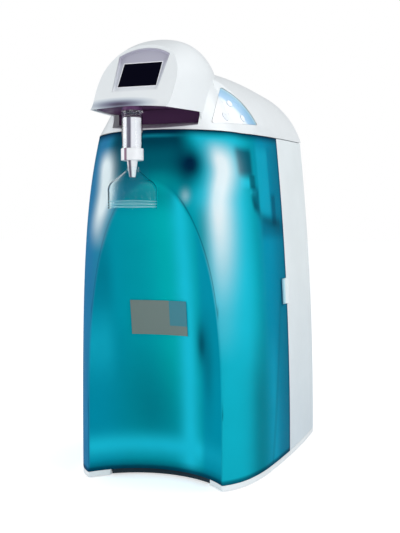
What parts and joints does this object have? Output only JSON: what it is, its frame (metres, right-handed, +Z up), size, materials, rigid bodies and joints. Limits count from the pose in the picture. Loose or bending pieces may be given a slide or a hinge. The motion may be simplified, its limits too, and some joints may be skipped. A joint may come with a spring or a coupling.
{
  "type": "ultrapure water system",
  "caption": "Tapered benchtop water purifier with an arched flask bay, a domed top, a display head and a bell-shaped dispensing nozzle.",
  "frame": {"origin": "centre of the bounding box's bottom face, on the bench", "axes": "+Z up, +X to the right seen from the front, -Y towards the user"},
  "size_m": [0.284, 0.4052, 0.5518],
  "materials": {
    "white_plastic": "satin",
    "teal_plastic": "frosted translucent",
    "dark_plastic": "matte",
    "rubber": "matte",
    "plate": "printed, matte",
    "window": "satin film",
    "key": "satin film",
    "grey_plastic": "satin",
    "display": "polished",
    "clear_plastic": "clear",
    "membrane": "pleated",
    "panel": "satin",
    "steel": "brushed",
    "cartridge": "satin",
    "hose": "translucent",
    "motor": "satin",
    "board": "solder mask",
    "tank": "translucent",
    "black_plastic": "satin"
  },
  "bodies": {
    "housing": {"base_tray": "white_plastic", "plinth_strip": "dark_plastic", "foot_pads": "rubber", "back_shell": "white_plastic", "dome_housing": "white_plastic", "keypad_window": "window", "keypad_board": "board", "head_shell": "white_plastic", "head_floor": "dark_plastic", "neck_panel": "dark_plastic", "display_bezel": "grey_plastic", "display_glass": "display", "display_module": "board", "outlet_port": "dark_plastic", "chassis_panel": "panel", "chassis_screws": "steel", "cartridge_cradle": "grey_plastic", "purification_cartridge": "cartridge", "manifold_head": "grey_plastic", "uv_reactor": "steel", "uv_end_caps": "black_plastic", "uv_clamps": "grey_plastic", "uv_ballast": "panel", "pump_motor": "motor", "pump_head": "black_plastic", "pump_saddle": "rubber", "dispense_valve": "black_plastic", "resistivity_cell": "dark_plastic", "feed_hose": "hose", "cartridge_hose": "hose", "reactor_hose": "hose", "cell_hose": "hose", "valve_hose": "hose", "outlet_hose": "hose", "reservoir": "tank", "reservoir_shelf": "panel", "fill_funnel": "tank", "level_rod": "steel", "board_standoffs": "steel", "control_board": "board", "power_inlet": "black_plastic", "switch_frame": "black_plastic"},
    "cover": {"front_cover": "teal_plastic", "name_plate": "plate"},
    "right_latch": {"latch_right": "white_plastic"},
    "left_latch": {"latch_left": "white_plastic"},
    "dispense_key": {"key_dispense": "key"},
    "menu_key": {"key_menu": "key"},
    "standby_key": {"key_standby": "key"},
    "lid": {"fill_lid": "white_plastic"},
    "filter": {"final_filter": "clear_plastic", "filter_core": "membrane", "filter_ring": "white_plastic", "filter_nozzle": "white_plastic"},
    "bell": {"dispense_bell": "clear_plastic"},
    "float": {"level_float": "white_plastic"},
    "rocker": {"power_rocker": "black_plastic"}
  },
  "joints": [
    {"name": "cover_slide", "type": "slide", "parent": "housing", "child": "cover", "axis": [0, -1, 0], "range_m": [0, 0.016]},
    {"name": "right_latch_press", "type": "slide", "parent": "housing", "child": "right_latch", "axis": [-1, 0, 0], "range_m": [0, 0.0025], "stiffness_N_per_m": 600},
    {"name": "left_latch_press", "type": "slide", "parent": "housing", "child": "left_latch", "axis": [1, 0, 0], "range_m": [0, 0.0025], "stiffness_N_per_m": 600},
    {"name": "dispense_key_press", "type": "slide", "parent": "housing", "child": "dispense_key", "axis": [-0.8073, 0.3214, -0.4949], "range_m": [0, 0.001], "stiffness_N_per_m": 400},
    {"name": "menu_key_press", "type": "slide", "parent": "housing", "child": "menu_key", "axis": [-0.6904, 0.5648, -0.4522], "range_m": [0, 0.001], "stiffness_N_per_m": 400},
    {"name": "standby_key_press", "type": "slide", "parent": "housing", "child": "standby_key", "axis": [-0.8268, 0.4075, -0.3877], "range_m": [0, 0.001], "stiffness_N_per_m": 400},
    {"name": "lid_lift", "type": "slide", "parent": "housing", "child": "lid", "axis": [0, 0, 1], "range_m": [0, 0.04]},
    {"name": "filter_pull", "type": "slide", "parent": "housing", "child": "filter", "axis": [0, 0, -1], "range_m": [0, 0.012]},
    {"name": "bell_pull", "type": "slide", "parent": "filter", "child": "bell", "axis": [0, 0, -1], "range_m": [0, 0.03]},
    {"name": "float_rise", "type": "slide", "parent": "housing", "child": "float", "axis": [0, 0, 1], "range_m": [0, 0.09]},
    {"name": "power_rock", "type": "hinge", "parent": "housing", "child": "rocker", "pos_m": [-0.022, 0.1945, 0.052], "axis": [1, 0, 0], "range_deg": [0, 16]}
  ]
}
